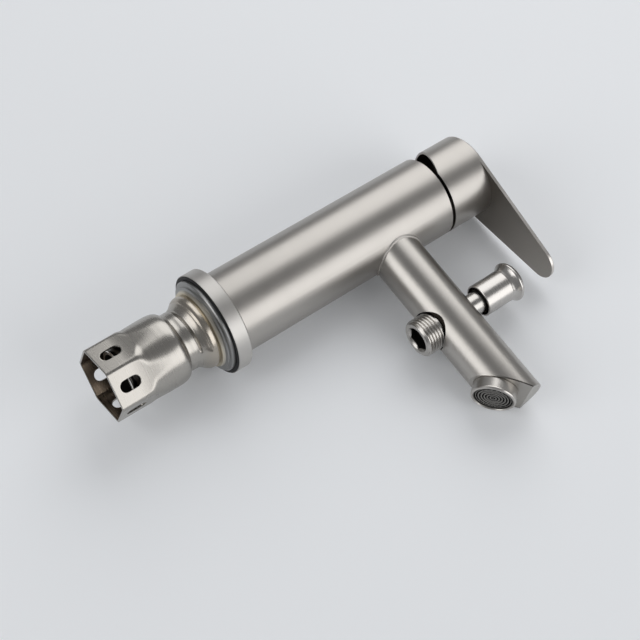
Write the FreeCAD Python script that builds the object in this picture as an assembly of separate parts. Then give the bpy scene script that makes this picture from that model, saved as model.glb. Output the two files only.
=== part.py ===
import FreeCAD, Part
import os
import math

# Single lever basin tap with a shower diverter on the spout. All lengths in mm.
# Z runs up the body, X points along the spout, the origin is the middle of the
# deck contact face under the base gasket.

V = FreeCAD.Vector
UP = V(0, 0, 1)
RIGHT = V(1, 0, 0)
BACKWARD = V(0, 1, 0)

# Body tube and base
body_r = 23.0
body_wall = 1.5
body_bore_r = body_r - body_wall
body_top = 148.1
gasket_shows = 0.4          # how far the gasket stands out under the base ring
gasket_depth = 2.2          # height of the gasket's lip inside the ring
ring_wall = 5.45            # from the body out to the edge of the base ring
ring_r = body_r + ring_wall
gasket_r = ring_r - 0.35
gasket_lip_r = ring_r - 1.85
gasket_lip_w = 1.9
gasket_seal_w = 1.8         # the ring that meets the deck, round a shallow recess
gasket_recess = 0.15
ring_h = 8.45
ring_top = gasket_shows + ring_h
ring_edge = 0.6

# Spout
spout_r = 14.2
spout_wall = 1.2
spout_bore_r = spout_r - spout_wall
spout_z = body_top - 37.7
spout_tip_x = 124.5
cut_angle = 38.0            # slope of the oblique cut under the tip, from level
cut_axis_x = 118.2          # where the cut crosses the spout axis
cap_t = 2.0
weld_w = 0.8

# Aerator, measured along its own axis from the oblique cut
aerator_shift = -8.7        # middle of the aerator along the cut, from the axis
collar_inset = 2.2          # the collar lies inside the tube's outline
collar_r = spout_r - collar_inset
collar_out = 7.0
mouth_r = collar_r - 1.4
aerator_thread_r = collar_r - 1.0
aerator_bore_r = aerator_thread_r - 1.8
aerator_thread_l = 5.0
insert_recess = 0.8
insert_seat = 1.0

# Diverter, one axis for the knob, the valve and the shower outlet
div_x = 66.8
block_l = 27.0
outlet_r = 10.4775          # outside radius of a half inch parallel pipe thread
outlet_relief_r = 9.3       # undercut above the thread, where it enters the spout
outlet_relief_l = 4.4
outlet_end_z = spout_z - 22.8
outlet_seat_z = spout_z - 10.4
outlet_spigot_r = 8.0
outlet_bore_r = 5.0
outlet_hex = 12.0           # across the flats of the socket in the outlet
outlet_hex_depth = 7.0
seat_gap = 0.7              # air round the outlet where it leaves the spout
chamber_r = 6.0
chamber_low = spout_z - 7.2
chamber_high = spout_z + 7.0
plunger_t = 2.5
knob_travel = 7.0
stem_r = 2.5
running_fit = 0.05
bonnet_r = 6.25
bonnet_spigot_r = 5.0
bonnet_seat_z = spout_z + 10.2
bonnet_top = spout_z + 25.6
knob_low = spout_z + 20.1
knob_r = 9.15
knob_wall = 0.85
knob_bore_r = knob_r - knob_wall
knob_edge_z = knob_low + 17.0
knob_cap_r = 11.3
knob_cap_z = knob_edge_z + 5.1   # height where the cap is widest
knob_top = knob_cap_z + 4.3
knob_screw_l = 8.5
spring_r = 4.3
spring_wire_r = 0.35
spring_turns = 5.0
steps_per_turn = 14

# Threaded shank and the mounting nut that runs on it
pitch = 4.6
crest_r = 15.0              # the washer and the gasket go over the shank's thread
shank_bore_r = 12.6
shank_end = -53.5
thread_gap = 0.3
ridge_r = 14.3              # inner edge of the nut's rolled thread
shank_r = ridge_r - thread_gap
rib_r = 1.7                 # radius of the rolled rib, outside of the metal
nut_wall = 1.05
groove_r = rib_r - nut_wall
rib_axis_r = ridge_r + rib_r
mesh_angle = -25.0          # the groove's upper end, seen from above
mesh_z = -8.3
groove_turns = 0.72         # the rolled thread is broken by a plain sector
grooves = 2
washer_inset = 2.45         # the washer stays inside the gasket's seal ring
washer_r = ring_r - washer_inset
washer_t = 4.8
rest_gap = 0.1              # play between gasket, washer and nut
nut_top = -(washer_t + 2 * rest_gap)
nut_end = -63.9
nut_cyl_r = 19.8
hex_half = 18.4
hex_corner_r = 20.95
hex_turn = -19.0            # angle of one hexagon corner
flat_top = -38.0
flat_start = -33.4
corner_top = -43.9
corner_full = -46.0
slot_from_end = 9.2         # middle of the slots, from the nut's end
slot_z = nut_end + slot_from_end
slot_l = 11.3
slot_w = 6.6

# Cartridge, stacked upward from the manifold
manifold_low = spout_z - 18.4
manifold_top = body_top - 27.5
inlet_y = 6.4
inlet_r = 4.5               # tapping size of an M10 fine thread
inlet_depth = 13.0
port_r = 2.6
port_x = 5.0
port_y = 5.0
outlet_port_x = -6.2
outlet_port_r = 3.2
cross_r = 2.4               # channel between the inlets to the spout
cart_r = 17.5
cart_bore_r = 15.3
base_t = 4.0
fixed_t = 3.5
moving_t = 3.0
disc_r = 12.0
pocket_r = 4.3              # stays inside the inlets until the lever lifts
pocket_reach = 8.8          # toward the outlet port
pocket_half_angle = 50.0
pocket_depth = 1.6
film = 0.03                 # water film between the two ceramic discs
carrier_t = 5.0
carrier_floor = 0.4
carrier_r = disc_r + 0.4
guide_gap = 0.4
flange_t = 3.2
guide_r = 9.5
guide_top = body_top + 0.9
stem_w = 7.0
ball_r = 2.2
rod_r = 1.5
ball_lift = 0.45            # air under the ball in the carrier's slot
ball_drop = 6.6             # from the pivot down to the ball end
pin_r = 1.25
neck_r = 12.0
neck_gap = 0.4
shoulder_t = 2.4
shoulder_gap = 0.35

fixed_low = manifold_top + base_t
disc_low = fixed_low + fixed_t + film
carrier_low = disc_low + moving_t
guide_low = carrier_low + carrier_t + guide_gap
ball_z = carrier_low + carrier_floor + ball_lift + ball_r
pivot_z = ball_z + ball_drop
housing_in = guide_low + flange_t + shoulder_gap
shoulder_z = housing_in + shoulder_t

# Handle
skirt_low = body_top + 1.6
handle_h = 27.7
handle_top = skirt_low + handle_h
plate_t = 2.0
skirt_wall = 1.1
notch_angle = 20.4
notch_x = 1.0
hub_r = 7.6
hub_low = skirt_low + 4.3
stem_top = handle_top - 7.4
screw_r = 2.0
screw_z = hub_low + 2.9
screw_l = 6.4
lever_tip_r = 10.5
lever_tip_x = 76.0


def cyl(r, z0, z1, x=0.0, y=0.0):
    return Part.makeCylinder(r, z1 - z0, V(x, y, z0), UP)


def cyl_x(r, x0, x1, y=0.0, z=0.0):
    return Part.makeCylinder(r, x1 - x0, V(x0, y, z), RIGHT)


def ring(r_out, r_in, z0, z1, x=0.0, y=0.0):
    return cyl(r_out, z0, z1, x, y).cut(cyl(r_in, z0 - 1, z1 + 1, x, y))


def block(x0, x1, y0, y1, z0, z1):
    return Part.makeBox(x1 - x0, y1 - y0, z1 - z0, V(x0, y0, z0))


def turned(points, x=0.0, y=0.0):
    """Solid of revolution about an upright axis from (radius, height) points."""
    pts = [V(r, 0, z) for r, z in points]
    face = Part.Face(Part.makePolygon(pts + [pts[0]]))
    solid = face.revolve(V(0, 0, 0), UP, 360)
    solid.translate(V(x, y, 0))
    return solid


def prism(points, z0, z1):
    pts = [V(x, y, z0) for x, y in points]
    return Part.Face(Part.makePolygon(pts + [pts[0]])).extrude(V(0, 0, z1 - z0))


def hexagon(half, z, turn=0.0):
    """Closed hexagon, half is the distance from the middle to a flat."""
    r = half / math.cos(math.pi / 6)
    pts = [V(r * math.cos(math.radians(turn + 60 * k)),
             r * math.sin(math.radians(turn + 60 * k)), z) for k in range(6)]
    return Part.makePolygon(pts + [pts[0]])


def hex_prism(half, z0, z1, turn=0.0, x=0.0):
    solid = Part.Face(hexagon(half, z0, turn)).extrude(V(0, 0, z1 - z0))
    solid.translate(V(x, 0, 0))
    return solid


def smooth_profile(points):
    curve = Part.BSplineCurve()
    curve.interpolate([V(r, 0, z) for r, z in points])
    return curve.toShape()


def screw_sweep(profile, z0, turns, angle):
    """Sweep a profile drawn in the XZ plane at z = 0 along a right hand helix."""
    helix = Part.makeHelix(pitch, pitch * turns, rib_axis_r)
    solid = Part.Wire(helix.Edges).makePipeShell([profile], True, True)
    solid.rotate(V(0, 0, 0), UP, angle)
    solid.translate(V(0, 0, z0))
    return solid


def trough(r_low, r_out):
    """Profile of a groove with a rounded floor and sides that open outward."""
    lean = math.radians(24)
    cx = rib_axis_r
    sx, sz = cx - r_low * math.sin(lean), r_low * math.cos(lean)
    fz = sz + (r_out - sx) * math.tan(lean)
    mid = 0.42 * r_low
    pts = [V(r_out, 0, fz), V(sx, 0, sz), V(cx - r_low, 0, mid), V(cx - r_low, 0, -mid),
           V(sx, 0, -sz), V(r_out, 0, -fz)]
    return Part.makePolygon(pts + [pts[0]])


def body_shell():
    """Drawn stainless tube with a rolled top lip and a round hole for the spout."""
    lip = 0.5
    shell = turned([(body_bore_r, gasket_shows), (body_r, gasket_shows),
                    (body_r, body_top - lip), (body_r - lip, body_top),
                    (body_bore_r + lip, body_top), (body_bore_r, body_top - lip)])
    return shell.cut(cyl_x(spout_r, 0, body_r + 5, 0, spout_z))


def base_ring():
    """Turned escutcheon band, with a groove below that holds the gasket."""
    e = ring_edge
    return turned([(body_r, gasket_shows), (gasket_lip_r - gasket_lip_w, gasket_shows),
                   (gasket_lip_r - gasket_lip_w, gasket_shows + gasket_depth),
                   (gasket_lip_r, gasket_shows + gasket_depth),
                   (gasket_lip_r, gasket_shows), (ring_r, gasket_shows),
                   (ring_r, ring_top - e), (ring_r - e, ring_top),
                   (body_r + 1.6, ring_top), (body_r + 1.3, ring_top - 0.3),
                   (body_r, ring_top - 0.3)])


def base_gasket():
    """Flat rubber ring with a lip that snaps into the base ring's groove."""
    s = gasket_shows
    seal_r = gasket_r - gasket_seal_w
    return turned([(crest_r + 1, gasket_recess), (seal_r - gasket_recess, gasket_recess),
                   (seal_r, 0), (gasket_r, 0), (gasket_r, s), (gasket_lip_r, s),
                   (gasket_lip_r, s + gasket_depth),
                   (gasket_lip_r - gasket_lip_w, s + gasket_depth),
                   (gasket_lip_r - gasket_lip_w, s), (crest_r + 1, s)])


def threaded_shank():
    """Thick tube below the deck, flanged into the body; the nut's thread runs on it."""
    s = gasket_shows
    return turned([(shank_bore_r, shank_end), (shank_r - 0.6, shank_end),
                   (shank_r, shank_end + 0.6), (shank_r, s), (body_bore_r, s),
                   (body_bore_r, s + 6.0), (shank_bore_r + 4, s + 6.0),
                   (shank_bore_r, s + 3.0)])


def deck_washer():
    """Pressed stainless washer, stepped toward the nut."""
    t = -rest_gap
    r = washer_r
    return turned([(15.6, t), (r, t), (r, t - 1.3), (r - 0.6, t - 1.9),
                   (r - 2.3, t - 2.2), (r - 2.5, t - 3.0), (r - 3.9, t - 3.4),
                   (r - 4.4, t - washer_t), (r - 6.2, t - washer_t),
                   (r - 6.4, t - washer_t + 0.4), (15.6, t - washer_t + 0.4)])


def nut_side():
    """Outline of the nut's bell, neck and shoulder as (radius, height) points."""
    top = nut_top
    return [(20.0, top), (20.3, top - 1.6), (20.15, top - 3.6), (19.3, top - 5.6),
            (17.8, top - 7.9), (16.65, top - 9.9), (16.4, top - 12.0),
            (16.4, top - 13.9), (16.9, top - 15.3), (18.2, top - 17.1),
            (19.25, top - 18.9), (19.75, top - 21.5), (nut_cyl_r, top - 24.5),
            (nut_cyl_r, flat_start)]


def nut_bell(inset, stretch):
    """Solid inside the nut's upper outline, drawn in by the wall thickness."""
    pts = nut_side()
    moved = []
    for k in range(len(pts)):
        a, b = pts[max(k - 1, 0)], pts[min(k + 1, len(pts) - 1)]
        dr, dz = b[0] - a[0], b[1] - a[1]
        ln = math.hypot(dr, dz)
        moved.append((pts[k][0] + inset * dz / ln, pts[k][1] - inset * dr / ln))
    moved[0] = (moved[0][0], nut_top)
    moved[-1] = (moved[-1][0], flat_start)
    side = smooth_profile(moved)
    hi, lo = nut_top + stretch, flat_start
    edges = [side, Part.makeLine(V(moved[-1][0], 0, lo), V(0, 0, lo)),
             Part.makeLine(V(0, 0, lo), V(0, 0, hi))]
    if stretch > 0:
        edges += [Part.makeLine(V(0, 0, hi), V(moved[0][0], 0, hi)),
                  Part.makeLine(V(moved[0][0], 0, hi), V(moved[0][0], 0, nut_top))]
    else:
        edges.append(Part.makeLine(V(0, 0, hi), V(moved[0][0], 0, hi)))
    face = Part.Face(Part.Wire(Part.sortEdges(edges)[0]))
    return face.revolve(V(0, 0, 0), UP, 360)


def nut_crown(inset, stretch):
    """Hexagonal end of the nut, flats pressed in and corners pushed out."""
    half = hex_half - inset
    end = nut_end - stretch
    core = turned([(0, flat_start), (nut_cyl_r - inset, flat_start),
                   (nut_cyl_r - inset, corner_top), (hex_corner_r - inset, corner_full),
                   (hex_corner_r - inset, end), (0, end)])
    wide = nut_cyl_r + 0.4 - inset
    flare = Part.makeLoft([hexagon(half, flat_top, hex_turn),
                           hexagon(wide, flat_start, hex_turn)], True, True)
    return core.common(hex_prism(half, end, flat_top, hex_turn).fuse(flare))


def mounting_nut():
    """Deep drawn stainless sleeve nut: rolled thread in the neck, slotted hexagon."""
    out = nut_bell(0.0, 0.0).fuse(nut_crown(0.0, 0.0))
    inner = nut_bell(nut_wall, 1.0).fuse(nut_crown(nut_wall, 1.0))
    start = mesh_z - pitch * groove_turns
    turn = mesh_angle - 360.0 * groove_turns
    shell = out.cut(inner)
    for k in range(grooves):
        rib = screw_sweep(trough(rib_r, 22.5), start - k * pitch, groove_turns, turn)
        pit = screw_sweep(trough(groove_r, 24.0), start - k * pitch, groove_turns, turn)
        shell = shell.fuse(rib.common(nut_bell(0.0, 0.0))).cut(pit)
    reach = 1.5 * nut_cyl_r
    for k in range(6):
        half_run = (slot_l - slot_w) / 2
        tool = cyl_x(slot_w / 2, 5, reach, 0, slot_z - half_run)
        tool = tool.fuse(cyl_x(slot_w / 2, 5, reach, 0, slot_z + half_run))
        tool = tool.fuse(block(5, reach, -slot_w / 2, slot_w / 2,
                               slot_z - half_run, slot_z + half_run))
        tool.rotate(V(0, 0, 0), UP, hex_turn + 30 + 60 * k)
        shell = shell.cut(tool)
    return shell


def below_cut(depth, x_far):
    """Everything kept above the oblique cut and behind the end face."""
    a = math.radians(cut_angle)
    along, normal = V(math.cos(a), 0, math.sin(a)), V(math.sin(a), 0, -math.cos(a))
    origin = V(cut_axis_x, 0, spout_z) - normal * depth
    root = origin - along * (origin.x / along.x)
    hit = origin + along * ((x_far - origin.x) / along.x)
    high = spout_z + 2 * spout_r
    pts = [root, hit, V(x_far, 0, high), V(0, 0, high)]
    slab = Part.Face(Part.makePolygon(pts + [pts[0]])).extrude(V(0, 4 * spout_r, 0))
    slab.translate(V(0, -2 * spout_r, 0))
    return slab


def spout_tube():
    """Straight tube, saddle cut at the body, cut off square and then obliquely."""
    tube = cyl_x(spout_r, 5, spout_tip_x + 20, 0, spout_z)
    tube = tube.cut(cyl_x(spout_bore_r, 0, spout_tip_x + 30, 0, spout_z))
    tube = tube.common(below_cut(0.0, spout_tip_x))
    over = 2 * spout_r
    tube = tube.cut(cyl(body_bore_r, spout_z - over, spout_z + over))
    tube = tube.cut(cyl(outlet_r + seat_gap, spout_z - over, spout_z, div_x))
    return tube.cut(cyl(bonnet_r + 0.35, spout_z, spout_z + over, div_x))


def spout_weld():
    """Ground weld bead where the spout meets the body."""
    bead = cyl_x(spout_r + weld_w, 5, 40, 0, spout_z).cut(cyl_x(spout_r, 0, 50, 0, spout_z))
    zone = ring(body_r + weld_w, body_r, spout_z - 25, spout_z + 25)
    return bead.common(zone)


def aerator_frame(shape):
    """Move a piece drawn round +Z, mouth upward from z = 0, onto the oblique cut."""
    a = math.radians(cut_angle)
    shape.rotate(V(0, 0, 0), BACKWARD, 180 - cut_angle)
    shape.translate(V(cut_axis_x + aerator_shift * math.cos(a), 0,
                      spout_z + aerator_shift * math.sin(a)))
    return shape


def spout_end_cap():
    """Plate that closes the spout end, welded inside the tube and holed for the aerator."""
    bar = cyl_x(spout_bore_r, 60, spout_tip_x + 20, 0, spout_z)
    plate = bar.common(below_cut(0.0, spout_tip_x)).cut(below_cut(cap_t, spout_tip_x - cap_t))
    return plate.cut(aerator_frame(cyl(aerator_thread_r, -20, 10)))


def aerator_housing():
    """Turned collar with a rolled rim, screwed into the end plate."""
    o = collar_out
    return aerator_frame(turned([
        (aerator_bore_r, -aerator_thread_l), (aerator_thread_r, -aerator_thread_l),
        (aerator_thread_r, 0), (collar_r - 0.3, 0), (collar_r - 0.1, 0.3),
        (collar_r - 0.1, o - 1.5), (collar_r, o - 1.0), (collar_r - 0.2, o - 0.3),
        (collar_r - 0.7, o), (mouth_r + 0.3, o), (mouth_r, o - 0.4),
        (mouth_r, insert_seat), (aerator_bore_r, insert_seat)]))


def aerator_insert():
    """Flow straightener: a disc of rings, thinner between the rings."""
    face = collar_out - insert_recess
    deep = face - 0.7
    pts = [(0, insert_seat), (mouth_r, insert_seat), (mouth_r, face), (mouth_r - 1.0, face)]
    r = mouth_r - 1.0
    step = 1.0
    while r > step + 0.9:
        pts += [(r, deep), (r - step, deep), (r - step, face), (r - step - 0.9, face)]
        r -= step + 0.9
    pts += [(0, face)]
    return aerator_frame(turned(pts))


def aerator_washer():
    return aerator_frame(ring(aerator_thread_r, aerator_bore_r - 0.6,
                              -aerator_thread_l - 1.5, -aerator_thread_l))


def shower_outlet():
    """Half inch male outlet with a hexagon socket, screwed up into the valve block."""
    solid = turned([(outlet_bore_r, outlet_end_z), (outlet_r - 1.2, outlet_end_z),
                    (outlet_r, outlet_end_z + 1.2),
                    (outlet_r, outlet_seat_z - outlet_relief_l),
                    (outlet_relief_r, outlet_seat_z - outlet_relief_l + 0.6),
                    (outlet_relief_r, outlet_seat_z), (outlet_spigot_r, outlet_seat_z), (outlet_spigot_r, chamber_low),
                    (outlet_bore_r, chamber_low)], div_x)
    return solid.cut(hex_prism(outlet_hex / 2, outlet_end_z - 1,
                               outlet_end_z + outlet_hex_depth, 10, div_x))


def diverter_block():
    """Round brass block brazed in the spout, with the valve chamber and its ports."""
    half = block_l / 2
    solid = cyl_x(spout_bore_r, div_x - half, div_x + half, 0, spout_z)
    solid = solid.cut(cyl(outlet_r + seat_gap, spout_z - 20, outlet_seat_z, div_x))
    solid = solid.cut(cyl(outlet_spigot_r, spout_z - 20, chamber_low, div_x))
    solid = solid.cut(cyl(chamber_r, chamber_low - 1, chamber_high, div_x))
    solid = solid.cut(cyl(bonnet_spigot_r, chamber_high - 1, spout_z + 20, div_x))
    solid = solid.cut(cyl(bonnet_r + 0.35, bonnet_seat_z, spout_z + 20, div_x))
    solid = solid.cut(cyl_x(2.6, div_x - half - 1, div_x, 0, chamber_low + 4.6))
    return solid.cut(cyl_x(2.1, div_x, div_x + half + 1, 0, chamber_high - 2.4))


def diverter_bonnet():
    """Neck that guides the valve stem out of the spout, with a groove for its seal."""
    b = stem_r + running_fit
    mid = bonnet_top - 6.0
    return turned([(b, chamber_high), (bonnet_spigot_r, chamber_high),
                   (bonnet_spigot_r, bonnet_seat_z), (bonnet_r, bonnet_seat_z),
                   (bonnet_r, bonnet_top - 0.5), (bonnet_r - 0.5, bonnet_top),
                   (b, bonnet_top), (b, mid + 0.9), (b + 1.8, mid + 0.9),
                   (b + 1.8, mid - 0.9), (b, mid - 0.9)], div_x)


def bonnet_oring():
    mid, w = bonnet_top - 6.0, 0.9
    r = stem_r + running_fit + w
    k = w * math.tan(math.pi / 8)
    return turned([(r - w, mid - k), (r - k, mid - w), (r + k, mid - w), (r + w, mid - k),
                   (r + w, mid + k), (r + k, mid + w), (r - k, mid + w), (r - w, mid + k)], div_x)


def diverter_stem():
    """Valve stem with the plunger plate below and a thread in the knob above."""
    low = chamber_low + 1.4
    return turned([(0, low), (chamber_r - 0.4, low), (chamber_r - 0.4, chamber_low + plunger_t),
                   (stem_r, chamber_low + plunger_t), (stem_r, knob_top - 6.5),
                   (0, knob_top - 6.5)], div_x)


def plunger_seal():
    return cyl(chamber_r - 0.1, chamber_low, chamber_low + 1.4, div_x)


def diverter_spring():
    """Compression spring between the plunger and the bonnet, six-sided wire."""
    low = chamber_low + plunger_t + spring_wire_r
    run = chamber_high - spring_wire_r - low
    steps = int(spring_turns * steps_per_turn)
    sections = []
    for k in range(steps + 1):
        wire = hexagon(spring_wire_r * math.cos(math.pi / 6), 0)
        wire.rotate(V(0, 0, 0), RIGHT, 90)
        wire.translate(V(spring_r, 0, low + run * k / steps))
        wire.rotate(V(0, 0, 0), UP, 360.0 * spring_turns * k / steps)
        sections.append(wire)
    coil = Part.makeLoft(sections, True, True)
    coil.translate(V(div_x, 0, 0))
    return coil


def diverter_knob():
    """Pull knob: straight sleeve, crisp edge, concave flare and a domed cap."""
    rim_r = knob_cap_r - 0.45
    rise = knob_top - knob_cap_z - 1.2
    sphere_r = (rim_r ** 2 + rise ** 2) / (2 * rise)
    mid = knob_top - sphere_r + math.sqrt(sphere_r ** 2 - (rim_r / 2) ** 2)
    dome = Part.Arc(V(rim_r, 0, knob_cap_z + 1.2), V(rim_r / 2, 0, mid),
                    V(0, 0, knob_top)).toShape()
    stop = knob_top - 6.5
    inner = stop - knob_screw_l
    path = [(0, knob_top), (0, stop), (stem_r, stop), (stem_r, inner),
            (knob_bore_r, inner), (knob_bore_r, knob_low), (knob_r - 0.25, knob_low),
            (knob_r, knob_low + 0.25), (knob_r, knob_edge_z), (knob_r - 0.35, knob_edge_z + 0.35),
            (knob_r - 0.25, knob_edge_z + 1.3), (knob_r + 0.25, knob_edge_z + 2.4),
            (knob_r + 0.95, knob_cap_z - 1.7), (knob_cap_r - 0.5, knob_cap_z - 0.9),
            (knob_cap_r - 0.05, knob_cap_z - 0.3), (knob_cap_r, knob_cap_z + 0.3),
            (rim_r, knob_cap_z + 1.2)]
    lines = [Part.makeLine(V(a[0], 0, a[1]), V(b[0], 0, b[1])) for a, b in zip(path, path[1:])]
    face = Part.Face(Part.Wire(Part.sortEdges(lines + [dome])[0]))
    solid = face.revolve(V(0, 0, 0), UP, 360)
    solid.translate(V(div_x, 0, 0))
    return solid


def valve_manifold():
    """Brass core brazed in the body: two hose sockets below, one outlet to the spout."""
    solid = cyl(body_bore_r, manifold_low, manifold_top)
    solid = solid.cut(ring(body_bore_r + 1, body_bore_r - 2.5, manifold_low - 1, manifold_low + 3))
    for side in (-1, 1):
        y = side * inlet_y
        solid = solid.cut(cyl(inlet_r, manifold_low - 1, manifold_low + inlet_depth, 0, y))
        foot = V(0, y, manifold_low + inlet_depth - 1.5)
        lean = V(port_x, side * port_y, manifold_top) - foot
        solid = solid.cut(Part.makeCylinder(port_r, 60, foot, lean))
    solid = solid.cut(cyl_x(6.0, 9, body_r, 0, spout_z))
    solid = solid.cut(cyl_x(cross_r, outlet_port_x, 12, 0, spout_z))
    return solid.cut(cyl(outlet_port_r, spout_z, manifold_top + 1, outlet_port_x))


def ports(r_in, r_out, z0, z1):
    """The three water passages of the cartridge as one cutting tool."""
    tool = cyl(r_out, z0, z1, outlet_port_x)
    for side in (-1, 1):
        tool = tool.fuse(cyl(r_in, z0, z1, port_x, side * port_y))
    return tool


def cartridge_base():
    z0 = manifold_top
    solid = cyl(cart_bore_r, z0, fixed_low)
    solid = solid.cut(ports(port_r, outlet_port_r, z0 - 1, z0 + base_t + 1))
    return solid.cut(ports(port_r + 1.2, outlet_port_r + 1.2, z0 - 1, z0 + 1.3))


def cartridge_seals():
    """Three rubber rings under the cartridge base."""
    z0 = manifold_top
    group = [ring(port_r + 1.2, port_r, z0, z0 + 1.3, port_x, s * port_y) for s in (-1, 1)]
    group.append(ring(outlet_port_r + 1.2, outlet_port_r, z0, z0 + 1.3, outlet_port_x))
    return Part.makeCompound(group)


def fixed_disc():
    z0 = fixed_low
    return cyl(cart_bore_r, z0, z0 + fixed_t).cut(ports(port_r, outlet_port_r, z0 - 1, z0 + 9))


def moving_disc():
    """Ceramic disc with the mixing pocket in its lower face."""
    z0, z1 = disc_low - 1, disc_low + pocket_depth
    side = 2 * pocket_reach
    wing = side * math.tan(math.radians(pocket_half_angle))
    sector = prism([(0, 0), (-side, wing), (-side, -wing)], z0, z1)
    pocket = cyl(pocket_r, z0, z1).fuse(cyl(pocket_reach, z0, z1).common(sector))
    return cyl(disc_r, disc_low, carrier_low).cut(pocket)


def disc_carrier():
    """Plastic carrier on the moving disc with the slot for the stem's ball end."""
    top = carrier_low + carrier_t
    slot_half = ball_r + 0.1
    slot = block(-slot_half, slot_half, -6.0, 6.0, carrier_low + carrier_floor, top + 1)
    return cyl(carrier_r, carrier_low, top).cut(slot)


def stem_guide():
    """Turning plastic guide that carries the stem on a cross pin."""
    z0 = guide_low
    solid = cyl(cart_bore_r - 0.1, z0, z0 + flange_t).fuse(cyl(guide_r, z0, guide_top))
    half = stem_w / 2 + 0.5
    side = [(-half, z0 - 1), (half + 1.8, z0 - 1), (half + 0.2, pivot_z),
            (half + 0.2, guide_top + 1), (-half - 4.0, guide_top + 1), (-half - 0.6, pivot_z)]
    pts = [V(x, 0, z) for x, z in side]
    slot = Part.Face(Part.makePolygon(pts + [pts[0]])).extrude(V(0, stem_w + 0.7, 0))
    slot.translate(V(0, -(stem_w + 0.7) / 2, 0))
    pin = Part.makeCylinder(pin_r, 40, V(0, -20, pivot_z), BACKWARD)
    return solid.cut(slot).cut(pin)


def stem_pin():
    half = guide_r - 0.4
    return Part.makeCylinder(pin_r, 2 * half, V(0, -half, pivot_z), BACKWARD)


def cartridge_stem():
    """Square stem on a cross pin, with a ball end that drives the carrier."""
    half = stem_w / 2
    bar = block(-half, half, -half, half, pivot_z - 2.6, stem_top)
    rod = cyl(rod_r, ball_z, pivot_z)
    ball = Part.makeSphere(ball_r, V(0, 0, ball_z), UP)
    hole = Part.makeCylinder(pin_r + running_fit, 40, V(0, -20, pivot_z), BACKWARD)
    return bar.fuse(rod).fuse(ball).cut(hole)


def cartridge_housing():
    """Plastic cartridge barrel with a shoulder for the nut and a neck for the guide."""
    neck_top = guide_top - 0.2
    return turned([(cart_bore_r, manifold_top), (cart_r, manifold_top),
                   (cart_r, shoulder_z), (neck_r, shoulder_z), (neck_r, neck_top),
                   (guide_r + 0.1, neck_top), (guide_r + 0.1, housing_in),
                   (cart_bore_r, housing_in)])


def retaining_nut():
    """Threaded ring that clamps the cartridge, with four key slots on top."""
    z1 = body_top - 0.9
    inner = neck_r + neck_gap
    solid = turned([(inner, shoulder_z), (body_bore_r, shoulder_z), (body_bore_r, z1 - 0.6),
                    (body_bore_r - 0.6, z1), (inner + 0.6, z1), (inner, z1 - 0.6)])
    for k in range(4):
        key = block(neck_r + 2, body_r, -1.6, 1.6, z1 - 2.0, z1 + 1)
        key.rotate(V(0, 0, 0), UP, 45 + 90 * k)
        solid = solid.cut(key)
    return solid


def handle():
    """Skirt and lever in one: round skirt with a sloped relief at the back, flat blade."""
    tip_x = lever_tip_x - lever_tip_r
    lean = math.asin((body_r - lever_tip_r) / tip_x)
    s, c = math.sin(lean), math.cos(lean)
    z0 = handle_top - plate_t
    near = [V(body_r * s, -body_r * c, z0), V(tip_x + lever_tip_r * s, -lever_tip_r * c, z0)]
    far = [V(p.x, -p.y, p.z) for p in near]
    outline = Part.Wire([
        Part.Arc(far[0], V(-body_r, 0, z0), near[0]).toShape(),
        Part.makeLine(near[0], near[1]),
        Part.Arc(near[1], V(lever_tip_x, 0, z0), far[1]).toShape(),
        Part.makeLine(far[1], far[0])])
    plate = Part.Face(outline).extrude(V(0, 0, plate_t))
    skirt = ring(body_r, body_r - skirt_wall, skirt_low, z0)
    hub = cyl(hub_r, hub_low, z0)
    solid = plate.fuse(skirt).fuse(hub)
    top_edges = [e for e in solid.Edges
                 if all(abs(v.Z - handle_top) < 1e-6 for v in e.Vertexes)]
    solid = solid.makeFillet(0.6, top_edges)
    rise = math.tan(math.radians(notch_angle))
    far_x = -2 * body_r
    back = [V(notch_x, 0, skirt_low - 1), V(notch_x, 0, skirt_low),
            V(far_x, 0, skirt_low + (notch_x - far_x) * rise), V(far_x, 0, skirt_low - 1)]
    wedge = Part.Face(Part.makePolygon(back + [back[0]])).extrude(V(0, -2 * far_x, 0))
    wedge.translate(V(0, far_x, 0))
    inside = cyl(body_r - skirt_wall - 1, skirt_low - 2, handle_top + body_r)
    solid = solid.cut(wedge.cut(inside))
    half = stem_w / 2
    solid = solid.cut(block(-half, half, -half, half, hub_low - 1, stem_top))
    way = cyl_x(screw_r, -2 * hub_r, 0, 0, screw_z)
    return solid.cut(way.common(cyl(hub_r + 1, hub_low - 1, handle_top)))


def handle_set_screw():
    """Socket screw that locks the handle to the stem, reached through the relief."""
    x0 = -stem_w / 2 - screw_l
    screw = cyl_x(screw_r, x0, -stem_w / 2, 0, screw_z)
    socket = hex_prism(1.0, 0, 2.2)
    socket.rotate(V(0, 0, 0), BACKWARD, 90)
    socket.translate(V(x0, 0, screw_z))
    return screw.cut(socket)


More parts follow.
